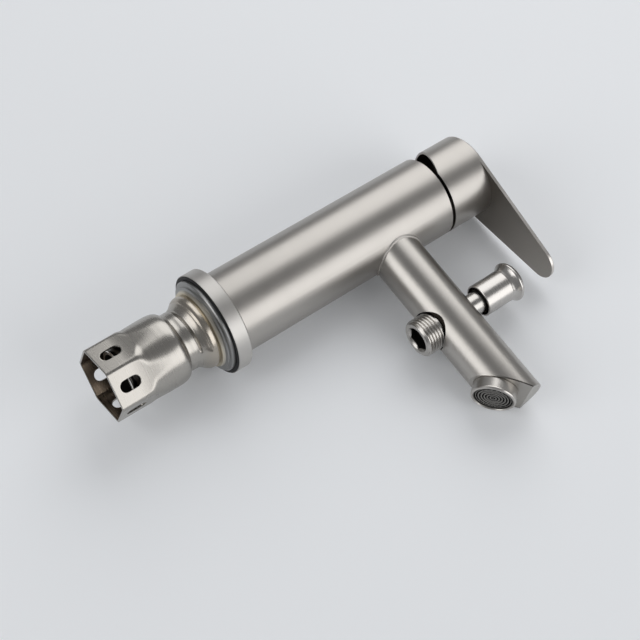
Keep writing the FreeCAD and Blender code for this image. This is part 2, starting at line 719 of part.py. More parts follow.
pieces = {
    "body_shell": body_shell, "base_ring": base_ring, "base_gasket": base_gasket,
    "threaded_shank": threaded_shank, "deck_washer": deck_washer,
    "mounting_nut": mounting_nut, "spout_tube": spout_tube, "spout_weld": spout_weld,
    "spout_end_cap": spout_end_cap, "aerator_housing": aerator_housing,
    "aerator_insert": aerator_insert, "aerator_washer": aerator_washer,
    "shower_outlet": shower_outlet, "diverter_block": diverter_block,
    "diverter_bonnet": diverter_bonnet, "bonnet_oring": bonnet_oring,
    "diverter_stem": diverter_stem, "plunger_seal": plunger_seal,
    "diverter_spring": diverter_spring, "diverter_knob": diverter_knob,
    "valve_manifold": valve_manifold, "cartridge_base": cartridge_base,
    "cartridge_seals": cartridge_seals, "fixed_disc": fixed_disc,
    "moving_disc": moving_disc, "disc_carrier": disc_carrier,
    "stem_guide": stem_guide, "stem_pin": stem_pin, "cartridge_stem": cartridge_stem,
    "cartridge_housing": cartridge_housing, "retaining_nut": retaining_nut,
    "handle": handle, "handle_set_screw": handle_set_screw,
}

os.makedirs("parts", exist_ok=True)
for name, make in pieces.items():
    shape = make()
    if not shape.isValid() or shape.Volume <= 0:
        print("check", name, shape.isValid(), round(shape.Volume, 1))
    print(name, len(shape.Solids), round(shape.Volume, 1))
    shape.exportStep(os.path.join("parts", name + ".step"))
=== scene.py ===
import bmesh
import bpy
import math
import numpy as np
from mathutils import Matrix, Vector


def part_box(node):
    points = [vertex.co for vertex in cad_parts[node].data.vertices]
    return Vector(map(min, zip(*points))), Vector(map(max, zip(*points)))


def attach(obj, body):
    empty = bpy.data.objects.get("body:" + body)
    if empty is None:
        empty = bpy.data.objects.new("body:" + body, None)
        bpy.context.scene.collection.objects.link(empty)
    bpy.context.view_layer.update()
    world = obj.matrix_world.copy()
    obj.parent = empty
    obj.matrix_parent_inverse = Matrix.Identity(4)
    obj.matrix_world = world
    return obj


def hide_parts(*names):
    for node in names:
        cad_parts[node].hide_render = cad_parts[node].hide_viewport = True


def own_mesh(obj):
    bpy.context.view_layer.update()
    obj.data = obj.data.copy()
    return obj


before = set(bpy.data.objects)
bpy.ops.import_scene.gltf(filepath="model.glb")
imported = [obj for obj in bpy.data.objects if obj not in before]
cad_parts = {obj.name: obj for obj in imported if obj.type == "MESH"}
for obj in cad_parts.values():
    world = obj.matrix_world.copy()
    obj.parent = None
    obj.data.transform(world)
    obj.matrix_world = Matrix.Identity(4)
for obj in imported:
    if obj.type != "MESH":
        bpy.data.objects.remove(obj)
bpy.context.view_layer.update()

# The camera
# It stands where the photograph was taken from: below and in front of the tap, which is
# why the tap, upright in its own frame, lies across the picture with its nut to the left.
camera_place = (0.25684, -0.65695, -0.23418)
camera_right = Vector((0.59533, -0.13821, 0.79151))
camera_down = Vector((0.74437, 0.46571, -0.47856))
camera_ahead = Vector((-0.30248, 0.87408, 0.38013))
focal_mm = 81.0

camera_data = bpy.data.cameras.new("camera")
camera_data.lens = focal_mm
camera_data.sensor_width = 36.0
camera_data.clip_start, camera_data.clip_end = 0.01, 20.0
camera = bpy.data.objects.new("camera", camera_data)
turn = Matrix((camera_right, -camera_down, -camera_ahead)).transposed().to_4x4()
camera.matrix_world = Matrix.Translation(camera_place) @ turn
bpy.context.scene.collection.objects.link(camera)
bpy.context.scene.camera = camera

# The table
# The tap lies on a pale matt table and touches it with the base ring, the end of the
# handle and the side of the spout. Seen from behind, the table lets the view through.
table_normal = Vector((-0.0929, -0.9952, -0.0322)).normalized()
table_offset = 0.02871
table_colour = (0.862, 0.880, 0.904, 1.0)
table_glow = 0.066
table_middle = Vector((0.05, 0.0, 0.05))
table_half = 0.36


def table_mesh():
    """Square sheet: the middle point dropped onto the plane, plus or minus the half size
    along the plane's two directions."""
    across = Vector((0, 0, 1)).cross(table_normal).normalized()
    up = table_normal.cross(across)
    foot = table_middle - table_normal * (table_normal.dot(table_middle) + table_offset)
    corners = [foot + across * a + up * b for a, b in
               ((-table_half, -table_half), (table_half, -table_half),
                (table_half, table_half), (-table_half, table_half))]
    mesh = bpy.data.meshes.new("table")
    mesh.from_pydata([tuple(c) for c in corners], [], [(0, 1, 2, 3)])
    normal = (corners[1] - corners[0]).cross(corners[2] - corners[1])
    if normal.dot(table_normal) < 0:
        mesh.flip_normals()
    return mesh


def maths(nodes, operation, kind="Math"):
    """Node that works out one operation on numbers, or with kind VectorMath on vectors."""
    node = nodes.new("ShaderNode" + kind)
    node.operation = operation
    return node


def table_paint():
    """Matt paint plus a weak glow of the same colour, which only the camera, mirrors and
    glass see, so it lights nothing. Seen from behind, the paint is clear."""
    paint = bpy.data.materials.new("table_paint")
    paint.use_nodes = True
    nodes, links = paint.node_tree.nodes, paint.node_tree.links
    nodes.clear()
    out = nodes.new("ShaderNodeOutputMaterial")
    matt = nodes.new("ShaderNodeBsdfDiffuse")
    matt.inputs["Color"].default_value = table_colour
    glow = nodes.new("ShaderNodeEmission")
    glow.inputs["Color"].default_value = table_colour
    path = nodes.new("ShaderNodeLightPath")
    seen = maths(nodes, "MAXIMUM")
    seen_too = maths(nodes, "MAXIMUM")
    strength = maths(nodes, "MULTIPLY")
    strength.inputs[1].default_value = table_glow
    both = nodes.new("ShaderNodeAddShader")
    clear = nodes.new("ShaderNodeBsdfTransparent")
    side = nodes.new("ShaderNodeNewGeometry")
    pick = nodes.new("ShaderNodeMixShader")
    links.new(path.outputs["Is Camera Ray"], seen.inputs[0])
    links.new(path.outputs["Is Glossy Ray"], seen.inputs[1])
    links.new(seen.outputs[0], seen_too.inputs[0])
    links.new(path.outputs["Is Transmission Ray"], seen_too.inputs[1])
    links.new(seen_too.outputs[0], strength.inputs[0])
    links.new(strength.outputs[0], glow.inputs["Strength"])
    links.new(matt.outputs[0], both.inputs[0])
    links.new(glow.outputs[0], both.inputs[1])
    links.new(side.outputs["Backfacing"], pick.inputs[0])
    links.new(both.outputs[0], pick.inputs[1])
    links.new(clear.outputs[0], pick.inputs[2])
    links.new(pick.outputs[0], out.inputs["Surface"])
    return paint


table = bpy.data.objects.new("table", table_mesh())
table.data.materials.append(table_paint())
bpy.context.scene.collection.objects.link(table)

# The lamps
# Three soft boxes stand round the camera: a large one above left, a tall one to the right
# and one below. The room between them is grey, which gives the dark bands on the steel.
room_grey = (0.250, 0.2525, 0.2565, 1.0)
aim = Vector((0.04, 0.0, 0.07))
softboxes = [
    ("lamp_left", -134, 33, 1.35, 1.34, 1.15, 1.70),
    ("lamp_right", -30, 24, 1.35, 1.12, 1.20, 1.95),
    ("lamp_below", -118, -56, 1.35, 0.90, 0.96, 1.95),
]
for name, azimuth, elevation, distance, width, height, radiance in softboxes:
    a, e = math.radians(azimuth), math.radians(elevation)
    outward = Vector((math.cos(e) * math.cos(a), math.cos(e) * math.sin(a), math.sin(e)))
    lamp_data = bpy.data.lights.new(name, "AREA")
    lamp_data.shape = "RECTANGLE"
    lamp_data.size, lamp_data.size_y = width, height
    lamp_data.energy = math.pi * width * height * radiance
    lamp = bpy.data.objects.new(name, lamp_data)
    lamp.location = aim + outward * distance
    lamp.rotation_mode = "QUATERNION"
    lamp.rotation_quaternion = outward.to_track_quat("Z", "Y")
    lamp.visible_camera = False
    bpy.context.scene.collection.objects.link(lamp)

room = bpy.data.worlds.new("room")
room.use_nodes = True
room.node_tree.nodes["Background"].inputs["Color"].default_value = room_grey
bpy.context.scene.world = room
bpy.context.scene.view_settings.view_transform = "Standard"

# Body tube
# A drawn stainless tube, 46 mm across, brushed round and round on a belt to a satin
# finish, with its top lip rolled in. Everything else on the tap hangs on it.
body_steel = (0.411, 0.392, 0.369, 1.0)
brush_slow, cloud_scale, noise_low, noise_high = 14.0, 55.0, 0.3, 0.7
finish_height = 0.0001
belt_brush = dict(lines=3600.0, depth=0.025, streak=0.03, mottling=0.03)


def ramp(nodes, start, full, low=0.0, high=1.0):
    """Range node that goes from low at the value start to high at the value full."""
    node = nodes.new("ShaderNodeMapRange")
    node.inputs["From Min"].default_value = start
    node.inputs["From Max"].default_value = full
    node.inputs["To Min"].default_value = low
    node.inputs["To Max"].default_value = high
    return node


def colour_mix(nodes):
    """Node that goes from colour A at factor 0 to colour B at factor 1."""
    node = nodes.new("ShaderNodeMix")
    node.data_type = "RGBA"
    return node


def brushed_steel(name, colour, rough, fast, lines=2600.0, depth=0.06, streak=0.05,
                  mottling=0.04):
    """Satin steel. A stretched noise gives the brush lines: it has the scale lines along
    the axes named in fast and brush_slow along the others, and it moves the roughness by
    the streak, the height by the depth and a little of the colour. A broad noise mottles
    the roughness and the colour."""
    steel = bpy.data.materials.new(name)
    steel.use_nodes = True
    nodes, links = steel.node_tree.nodes, steel.node_tree.links
    shader = nodes["Principled BSDF"]
    shader.inputs["Metallic"].default_value = 1.0
    place = nodes.new("ShaderNodeTexCoord")
    stretch = maths(nodes, "MULTIPLY", "VectorMath")
    stretch.inputs[1].default_value = [lines if k in fast else brush_slow for k in "xyz"]
    brush = nodes.new("ShaderNodeTexNoise")
    brush.inputs["Scale"].default_value = 1.0
    brush.inputs["Detail"].default_value = 3.0
    brush.inputs["Roughness"].default_value = 0.65
    cloud = nodes.new("ShaderNodeTexNoise")
    cloud.inputs["Scale"].default_value = cloud_scale
    cloud.inputs["Detail"].default_value = 4.0
    line_rough = ramp(nodes, noise_low, noise_high, rough - streak, rough + streak)
    cloud_rough = ramp(nodes, noise_low, noise_high, -0.5 * streak, 0.5 * streak)
    total = maths(nodes, "ADD")
    tone = maths(nodes, "MULTIPLY_ADD")
    tone.inputs[1].default_value = 0.5
    shade = colour_mix(nodes)
    dull = [c * (1.0 - 2.0 * mottling) for c in colour[:3]] + [1.0]
    bright = [min(1.0, c * (1.0 + 2.0 * mottling)) for c in colour[:3]] + [1.0]
    shade.inputs["A"].default_value = dull
    shade.inputs["B"].default_value = bright
    half = maths(nodes, "MULTIPLY")
    half.inputs[1].default_value = 0.5
    bump = nodes.new("ShaderNodeBump")
    bump.inputs["Strength"].default_value = depth
    bump.inputs["Distance"].default_value = finish_height
    links.new(place.outputs["Object"], stretch.inputs[0])
    links.new(stretch.outputs["Vector"], brush.inputs["Vector"])
    links.new(place.outputs["Object"], cloud.inputs["Vector"])
    links.new(brush.outputs["Fac"], line_rough.inputs["Value"])
    links.new(cloud.outputs["Fac"], cloud_rough.inputs["Value"])
    links.new(line_rough.outputs["Result"], total.inputs[0])
    links.new(cloud_rough.outputs["Result"], total.inputs[1])
    links.new(total.outputs[0], shader.inputs["Roughness"])
    links.new(brush.outputs["Fac"], half.inputs[0])
    links.new(cloud.outputs["Fac"], tone.inputs[0])
    links.new(half.outputs[0], tone.inputs[2])
    links.new(tone.outputs[0], shade.inputs["Factor"])
    links.new(shade.outputs["Result"], shader.inputs["Base Color"])
    links.new(brush.outputs["Fac"], bump.inputs["Height"])
    links.new(bump.outputs["Normal"], shader.inputs["Normal"])
    return steel


def dress(node, finish):
    """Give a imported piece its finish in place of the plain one."""
    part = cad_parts[node]
    part.data.materials.clear()
    part.data.materials.append(finish)


dress("body_shell", brushed_steel("body_brushed", body_steel, rough=0.36, fast="z",
                                  **belt_brush))

# Base ring
# A turned stainless band round the foot of the body, smoother than the tube and slightly
# paler, with a crisp upper edge. Its groove below holds the gasket.
ring_steel = (0.510, 0.495, 0.474, 1.0)
dress("base_ring", brushed_steel("ring_turned", ring_steel, rough=0.43, fast="z", lines=2400.0,
                                 depth=0.025, streak=0.03))

# Gasket
# A flat black rubber ring with a lip that snaps into the base ring. It seals the tap on
# the basin and stands out as a thin black line.
rubber_black = (0.011, 0.011, 0.012, 1.0)
bloom_scale, bloom_spread = 140.0, 0.10


def black_rubber(name, colour, rough, grain_scale=2500.0, relief=0.15, bloomed=1.9):
    """Matt rubber: a fine grain in height, and a slight grey bloom in patches, which are
    the colour times bloomed, and duller too."""
    rubber = bpy.data.materials.new(name)
    rubber.use_nodes = True
    nodes, links = rubber.node_tree.nodes, rubber.node_tree.links
    shader = nodes["Principled BSDF"]
    shader.inputs["Specular IOR Level"].default_value = 0.25
    place = nodes.new("ShaderNodeTexCoord")
    grain = nodes.new("ShaderNodeTexNoise")
    grain.inputs["Scale"].default_value = grain_scale
    bloom = nodes.new("ShaderNodeTexNoise")
    bloom.inputs["Scale"].default_value = bloom_scale
    bloom.inputs["Detail"].default_value = 4.0
    shade = colour_mix(nodes)
    shade.inputs["A"].default_value = colour
    shade.inputs["B"].default_value = [min(1.0, bloomed * c) for c in colour[:3]] + [1.0]
    spread = ramp(nodes, 0.0, 1.0, rough - bloom_spread, rough + bloom_spread)
    bump = nodes.new("ShaderNodeBump")
    bump.inputs["Strength"].default_value = relief
    bump.inputs["Distance"].default_value = finish_height
    links.new(place.outputs["Object"], grain.inputs["Vector"])
    links.new(place.outputs["Object"], bloom.inputs["Vector"])
    links.new(bloom.outputs["Fac"], shade.inputs["Factor"])
    links.new(shade.outputs["Result"], shader.inputs["Base Color"])
    links.new(bloom.outputs["Fac"], spread.inputs["Value"])
    links.new(spread.outputs["Result"], shader.inputs["Roughness"])
    links.new(grain.outputs["Fac"], bump.inputs["Height"])
    links.new(bump.outputs["Normal"], shader.inputs["Normal"])
    return rubber


gasket_rubber = black_rubber("gasket_rubber", rubber_black, rough=0.55)
dress("base_gasket", gasket_rubber)

# Threaded shank
# A thick steel tube flanged into the foot of the body, with a coarse round thread rolled
# on its outside for the nut to run on. The supply hoses pass up its bore.
shank_bore, shank_crest, shank_root = 0.0126, 0.0150, 0.0139
shank_low, shank_lip, shank_head = -0.0535, 0.0004, 0.0064
shank_flange, bore_cone_wide, bore_cone_deep = 0.0215, 0.004, 0.003
thread_gap, end_radius, end_chamfer, end_chamfer_high = 0.0004, 0.0141, 0.0009, 0.0007
thread_round, end_skin = 1.6, 0.0004
# The shank's lower end, inside the nut, is painted near black as painted shade: it fades in
# from 40 mm to 47 mm below the deck.
shank_steel, shank_painted_shade = (0.420, 0.404, 0.380, 1.0), (0.08, 0.076, 0.07, 1.0)
shade_from, shade_whole = 0.0400, 0.0470
nut_pitch = 0.0046
thread_angle, thread_height = math.radians(-27.0), -0.0090


def ring_grid(radius, height, name, axis_x=0.0):
    """Closed surface from two arrays of the same shape, one row per step of the profile
    and one column per angle: the point is radius along the angle, at the height. The last
    row joins the first and the last column joins the first. Points that meet on the axis
    are merged."""
    rows, columns = radius.shape
    angle = np.linspace(0.0, 2.0 * np.pi, columns, endpoint=False)[None, :]
    points = np.stack([axis_x + radius * np.cos(angle), radius * np.sin(angle),
                       height + 0.0 * radius], axis=-1).reshape(-1, 3)
    row, column = np.meshgrid(np.arange(rows), np.arange(columns), indexing="ij")
    here = row * columns + column
    right = row * columns + (column + 1) % columns
    above = ((row + 1) % rows) * columns + column
    corner = ((row + 1) % rows) * columns + (column + 1) % columns
    faces = np.stack([here, right, corner, above], axis=-1).reshape(-1, 4)
    mesh = bpy.data.meshes.new(name)
    mesh.from_pydata(points.tolist(), [], faces.tolist())
    shape = bmesh.new()
    shape.from_mesh(mesh)
    bmesh.ops.remove_doubles(shape, verts=shape.verts, dist=1e-7)
    shape.to_mesh(mesh)
    shape.free()
    mesh.polygons.foreach_set("use_smooth", np.ones(len(mesh.polygons), dtype=bool))
    mesh.validate()
    return mesh


def add_piece(mesh, finish, body, *stands_for, sharp=35.0):
    """Put a finished mesh in the scene at the origin, on the body that carries it."""
    mesh.set_sharp_from_angle(angle=math.radians(sharp))
    piece = bpy.data.objects.new(mesh.name, mesh)
    mesh.materials.append(finish)
    bpy.context.scene.collection.objects.link(piece)
    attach(piece, body)
    if stands_for:
        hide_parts(*stands_for)
    return piece


def shank_surface():
    """Outside: crest radius less a rounded groove, (1 + cos) / 2 to a power, that follows
    the nut's helix. Then the flange, the bore and the end face, as plain rings."""
    columns, rows = 144, 330
    angle = np.linspace(0.0, 2.0 * np.pi, columns, endpoint=False)[None, :]
    height = np.linspace(shank_low, shank_lip - thread_gap, rows)[:, None]
    phase = 2.0 * np.pi * (height - thread_height) / nut_pitch - (angle - thread_angle)
    groove = (0.5 + 0.5 * np.cos(phase)) ** thread_round
    radius = shank_crest - (shank_crest - shank_root) * groove
    end = np.clip((height - shank_low) / end_chamfer_high, 0.0, 1.0)
    radius = np.minimum(radius, end_radius + end_chamfer * end)
    flange = [(shank_flange, shank_lip), (shank_flange, shank_head),
              (shank_bore + bore_cone_wide, shank_head),
              (shank_bore, shank_lip + bore_cone_deep), (shank_bore, shank_low)]
    plain_r = np.array([[r] * columns for r, z in flange])
    plain_z = np.array([[z] * columns for r, z in flange])
    return ring_grid(np.vstack([radius, plain_r]),
                     np.vstack([height + 0.0 * radius, plain_z]), "threaded_shank_rolled")


def tinted_steel(name, colour, tint_and_shade, rough, near, far, depth=0.02, measure=(1, 1, 0)):
    """Brushed steel whose colour goes to a second colour, fully at the distance near and not
    at all at far: a real tint on the washer and the nut, painted shade on the shank. It is
    the distance from the tap's axis, or with measure (0, 0, 1) the one from the deck."""
    steel = brushed_steel(name, colour, rough, fast="z", lines=400.0, depth=depth,
                          streak=0.008, mottling=0.015)
    nodes, links = steel.node_tree.nodes, steel.node_tree.links
    shader = nodes["Principled BSDF"]
    plain = shader.inputs["Base Color"].links[0].from_socket
    place = nodes.new("ShaderNodeTexCoord")
    flat = maths(nodes, "MULTIPLY", "VectorMath")
    flat.inputs[1].default_value = measure
    reach = maths(nodes, "LENGTH", "VectorMath")
    fade = ramp(nodes, near, far, 1.0, 0.0)
    fade.interpolation_type = "SMOOTHSTEP"
    mix = colour_mix(nodes)
    mix.inputs["B"].default_value = tint_and_shade
    links.new(place.outputs["Object"], flat.inputs[0])
    links.new(flat.outputs["Vector"], reach.inputs[0])
    links.new(reach.outputs["Value"], fade.inputs["Value"])
    links.new(fade.outputs["Result"], mix.inputs["Factor"])
    links.new(plain, mix.inputs["A"])
    links.new(mix.outputs["Result"], shader.inputs["Base Color"])
    return steel


shank_finish = tinted_steel("shank_rolled", shank_steel, shank_painted_shade, rough=0.38,
                            near=shade_whole, far=shade_from, measure=(0, 0, 1))
shank_end_finish = brushed_steel("shank_faced", (0.70, 0.68, 0.65, 1.0), rough=0.22, fast="z",
                                 lines=1500.0, depth=0.02)
shank_mesh = shank_surface()
add_piece(shank_mesh, shank_finish, "tap", "threaded_shank")
shank_mesh.materials.append(shank_end_finish)
for face in shank_mesh.polygons:
    face.material_index = int(face.center.z < shank_low + end_skin)

# Washer
# A thick stainless washer pressed with two steps, loose on the shank. It spreads the
# nut's force under the basin. Its inner edge has the straw tint of bright annealing.
straw = (0.66, 0.60, 0.48, 1.0)
washer_steel = (0.300, 0.300, 0.297, 1.0)
dress("deck_washer", tinted_steel("washer_pressed", washer_steel, straw, rough=0.36,
                                  near=0.0212, far=0.0226))

# Mounting nut
# A sleeve nut deep drawn from one stainless sheet. Its neck is rolled into a round thread,
# broken by a plain sector, and its end is pressed to a hexagon with a slot in each flat.
nut_steel = (0.393, 0.376, 0.349, 1.0)
# The inside of the sleeve is a darker brown: the brown is the drawn sheet's tint, and the
# extra darkness is painted shade inside the sleeve.
nut_inside_tint_and_shade = (0.190, 0.150, 0.112, 1.0)
nut_tint = (0.420, 0.382, 0.330, 1.0)
nut_sheet, nut_edge = 0.00105, 0.00014
nut_high, neck_end, slots_high, slots_low = -0.0050, -0.0225, -0.0478, -0.0615
nut_low, nut_flat_start, nut_flat_full, flat_blend = -0.0639, -0.0300, -0.0520, 0.0030
outline_end, corner_start, corner_run, corner_least = -0.0335, -0.0415, 0.0045, 0.0005
hex_half, hex_corner, nut_round = 0.0184, 0.0208, 0.0198
hex_corner_angle, sixth = math.radians(-19.6), math.pi / 3.0
slot_height, slot_long, slot_wide = -0.0547, 0.0113, 0.0066
rolled_turns, roll_in, roll_out = 0.72, 0.030, 0.16
groove_deep, groove_wide, step_deep, step_start = 0.00110, 0.00050, 0.00045, 0.00080
step_start_run, step_edge, step_fade = 0.13, 0.00012, 0.0016
lean_turns, lean_back, lean_in, lean_out = 0.8, 0.2, 0.0033, 0.0090
nut_outline = [(-0.0050, 0.0200), (-0.0066, 0.0203), (-0.0088, 0.0202), (-0.0104, 0.0194),
               (-0.0129, 0.0175), (-0.0145, 0.01660), (-0.0170, 0.0164), (-0.0196, 0.0164),
               (-0.0205, 0.0166), (-0.0211, 0.0173), (-0.0220, 0.0183), (-0.0237, 0.0192),
               (-0.0262, 0.01968), (-0.0295, 0.0198), (-0.0340, 0.0198)]


def smooth_line(at, points):
    """Cubic through (place, value) points: each span is the Hermite blend of its two ends
    with slopes from the neighbours on either side, so the line has no corner."""
    known = np.array(sorted(points))
    x, y = known[:, 0], known[:, 1]
    slope = np.gradient(y, x)
    k = np.clip(np.searchsorted(x, at) - 1, 0, len(x) - 2)
    span = x[k + 1] - x[k]
    t = np.clip((at - x[k]) / span, 0.0, 1.0)
    return ((2 * t**3 - 3 * t**2 + 1) * y[k] + (t**3 - 2 * t**2 + t) * span * slope[k]
            + (3 * t**2 - 2 * t**3) * y[k + 1] + (t**3 - t**2) * span * slope[k + 1])


def ease(t):
    """Goes from 0 at 0 to 1 at 1, level at both ends."""
    t = np.clip(t, 0.0, 1.0)
    return t * t * (3.0 - 2.0 * t)


def nut_radius(angle, height):
    """Radius of the nut's outside. The outline by height, less what is rolled in along two
    turns of the helix: a step that fades out below it, deepest at its start, and a groove,
    a bell curve of the distance from the helix. Below that a rounded hexagon: flat /
    cos(angle) on the flats, and at each corner the far side of a circle whose middle lies
    towards the corner. It is a full circle where flat and corner are equally far out."""
    radius = smooth_line(np.maximum(height, outline_end), nut_outline)
    behind = np.mod(thread_angle - angle, 2.0 * np.pi) / (2.0 * np.pi)
    fill = ease(behind / roll_in) * ease((rolled_turns - behind) / roll_out)
    line = thread_height - nut_pitch * behind
    deep = step_deep + step_start * ease(1.0 - behind / step_start_run)
    below = 1.0 / (1.0 + np.exp(np.clip((height - line) / step_edge, -40.0, 40.0)))
    fading = np.exp(-np.maximum(line - height, 0.0) / step_fade)
    radius = radius - deep * fill * below * fading
    off = height - line + nut_pitch
    radius = radius - groove_deep * fill * np.exp(-(off / groove_wide) ** 2)
    down = ease((nut_flat_start - height) / (nut_flat_start - nut_flat_full))
    flat = nut_round + (hex_half - nut_round) * down
    pushed = ease((corner_start - height) / corner_run)
    corner = nut_round + (hex_corner - nut_round) * pushed
    from_flat = np.abs(np.mod(angle - hex_corner_angle, sixth) - sixth / 2.0)
    stretch = 1.0 / math.cos(sixth / 2.0)
    rounding = np.clip((stretch * flat - corner) / (stretch - 1.0), corner_least, flat)
    centre = (flat - rounding) * stretch
    aside = centre * np.sin(sixth / 2.0 - from_flat)
    round_part = (centre * np.cos(sixth / 2.0 - from_flat)
                  + np.sqrt(np.maximum(rounding ** 2 - aside ** 2, 0.0)))
    on_flat = np.tan(from_flat) * flat < (flat - rounding) * math.tan(sixth / 2.0)
    pressed = np.where(on_flat, flat / np.cos(from_flat), round_part)
    mix = ease((nut_flat_start - height) / flat_blend)
    return radius * (1 - mix) + pressed * mix


def nut_surface():
    """Grid of angle by height, whose rows lean with the helix along the rolled turns.
    Points just inside a slot's outline, a stadium on each flat, are pulled out onto it,
    and the faces within it are left out."""
    columns = 276
    angle = np.linspace(0.0, 2.0 * np.pi, columns, endpoint=False)
    height = np.concatenate([np.linspace(nut_high, neck_end, 88, endpoint=False),
                             np.linspace(neck_end, slots_high, 32, endpoint=False),
                             np.linspace(slots_high, slots_low, 31, endpoint=False),
                             np.linspace(slots_low, nut_low, 5)])
    rows = len(height)
    a, z = np.meshgrid(angle, height)
    behind = np.mod(thread_angle - a, 2.0 * np.pi) / (2.0 * np.pi)
    lean = np.where(behind < lean_turns, behind,
                    lean_turns * ease((1.0 - behind) / lean_back))
    z = z - (nut_pitch * lean * ease((nut_high - z) / lean_in)
             * ease((z - neck_end) / lean_out))
    middle = np.floor((a - hex_corner_angle) / sixth) * sixth + sixth / 2.0 + hex_corner_angle
    across = hex_half * np.tan(a - middle)
    straight = (slot_long - slot_wide) / 2.0
    up = z - slot_height
    near = up - np.clip(up, -straight, straight)
    gap = np.hypot(across, near)
    inside = gap < slot_wide / 2.0
    edge = inside & ~(np.roll(inside, 1, 0) & np.roll(inside, -1, 0)
                      & np.roll(inside, 1, 1) & np.roll(inside, -1, 1))
    grow = np.where(edge, slot_wide / 2.0 / np.maximum(gap, 1e-9), 1.0)
    across = across * grow
    z = np.where(edge, slot_height + up - near + near * grow, z)
    a = np.where(edge, middle + np.arctan2(across, hex_half), a)
    radius = nut_radius(a, z)
    points = np.stack([radius * np.cos(a), radius * np.sin(a), z], axis=-1).reshape(-1, 3)
    row, column = np.meshgrid(np.arange(rows - 1), np.arange(columns), indexing="ij")
    right = (column + 1) % columns
    corners = [(row, column), (row + 1, column), (row + 1, right), (row, right)]
    hole = inside & ~edge
    drop = np.zeros(row.shape, dtype=bool)
    pulled = np.ones(row.shape, dtype=bool)
    for r, c in corners:
        drop |= hole[r, c]
        pulled &= edge[r, c]
    keep = ~(drop | pulled)
    faces = np.stack([(r * columns + c)[keep] for r, c in corners], axis=-1)
    used, faces = np.unique(faces, return_inverse=True)
    mesh = bpy.data.meshes.new("nut_sheet")
    mesh.from_pydata(points[used].tolist(), [], faces.reshape(-1, 4).tolist())
    mesh.polygons.foreach_set("use_smooth", np.ones(len(mesh.polygons), dtype=bool))
    mesh.validate()
    return mesh


def give_wall(sheet, thickness, bevel, name):
    """Thicken a sheet inward, round its cut edges and keep the result as a plain mesh."""
    shape = bpy.data.objects.new("sheet", sheet)
    bpy.context.scene.collection.objects.link(shape)
    wall = shape.modifiers.new("wall", "SOLIDIFY")
    wall.thickness, wall.offset, wall.use_even_offset = thickness, -1.0, True
    wall.material_offset = 1
    edge = shape.modifiers.new("edge", "BEVEL")
    edge.width, edge.segments, edge.limit_method = bevel, 2, "ANGLE"
    edge.angle_limit = math.radians(60)
    mesh = bpy.data.meshes.new_from_object(
        shape.evaluated_get(bpy.context.evaluated_depsgraph_get()))
    mesh.name = name
    bpy.data.objects.remove(shape)
    return mesh


nut_finish = tinted_steel("nut_drawn", nut_steel, nut_tint, rough=0.27, near=0.0070,
                          far=0.0160, depth=0.003, measure=(0, 0, 1))
nut_inner_finish = brushed_steel("nut_inside_tint_and_shade", nut_inside_tint_and_shade, rough=0.30, fast="z", lines=900.0,
                                 depth=0.03, mottling=0.10)
nut_sheet_mesh = nut_surface()
nut_sheet_mesh.materials.append(nut_finish)
nut_sheet_mesh.materials.append(nut_inner_finish)
nut_mesh = give_wall(nut_sheet_mesh, nut_sheet, nut_edge, "mounting_nut_drawn")
nut_piece = bpy.data.objects.new("mounting_nut_drawn", nut_mesh)
nut_mesh.set_sharp_from_angle(angle=math.radians(40))
bpy.context.scene.collection.objects.link(nut_piece)
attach(nut_piece, "nut")
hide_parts("mounting_nut")

# Spout
# A straight stainless tube, saddle cut and welded to the body, cut off square above and
# obliquely below. A plate closes the oblique cut and takes the aerator.
spout_finish = brushed_steel("spout_brushed", (0.433, 0.414, 0.389, 1.0), rough=0.33, fast="x",
                             **belt_brush)
spout_height, spout_radius = 0.1104, 0.0142
cut_slope = math.radians(38.0)
cut_middle = Vector((0.1182, 0.0, spout_height))
cut_normal = Vector((math.sin(cut_slope), 0.0, -math.cos(cut_slope)))
from_cut, from_outside = (0.0007, 0.0004), (0.0006, 0.0003)
edge_foot, edge_whole = 0.1030, 0.1080
painted_edge_reflection = (0.060, 0.056, 0.052, 1.0)


def paint_cut_edge_reflection(steel, shade):
    """Paint a dark line along the edge of the oblique cut, a painted reflection standing in
    for the dark room seen in the rounded edge: points near both the cut and the outside,
    from none at the first distance to full at the second, fading out towards the foot
    of the cut."""
    nodes, links = steel.node_tree.nodes, steel.node_tree.links
    shader = nodes["Principled BSDF"]
    plain = shader.inputs["Base Color"].links[0].from_socket
    place = nodes.new("ShaderNodeTexCoord")
    axes = nodes.new("ShaderNodeSeparateXYZ")
    dot = maths(nodes, "DOT_PRODUCT", "VectorMath")
    dot.inputs[1].default_value = cut_normal
    offset = maths(nodes, "SUBTRACT", "VectorMath")
    offset.inputs[1].default_value = (0.0, 0.0, spout_height)
    flat = maths(nodes, "MULTIPLY", "VectorMath")
    flat.inputs[1].default_value = (0.0, 1.0, 1.0)
    reach = maths(nodes, "LENGTH", "VectorMath")
    links.new(place.outputs["Object"], axes.inputs[0])
    links.new(place.outputs["Object"], dot.inputs[0])
    links.new(place.outputs["Object"], offset.inputs[0])
    links.new(offset.outputs["Vector"], flat.inputs[0])
    links.new(flat.outputs["Vector"], reach.inputs[0])
    at_cut = cut_normal.dot(cut_middle)
    factor = None
    for socket, start, full in (
            (dot.outputs["Value"], at_cut - from_cut[0], at_cut - from_cut[1]),
            (reach.outputs["Value"], spout_radius - from_outside[0],
             spout_radius - from_outside[1]),
            (axes.outputs["Z"], edge_foot, edge_whole)):
        step = ramp(nodes, start, full)
        links.new(socket, step.inputs["Value"])
        if factor:
            both = maths(nodes, "MULTIPLY")
            links.new(factor, both.inputs[0])
            links.new(step.outputs["Result"], both.inputs[1])
            factor = both.outputs[0]
        else:
            factor = step.outputs["Result"]
    mix = colour_mix(nodes)
    mix.inputs["B"].default_value = shade
    links.new(factor, mix.inputs["Factor"])
    links.new(plain, mix.inputs["A"])
    links.new(mix.outputs["Result"], shader.inputs["Base Color"])
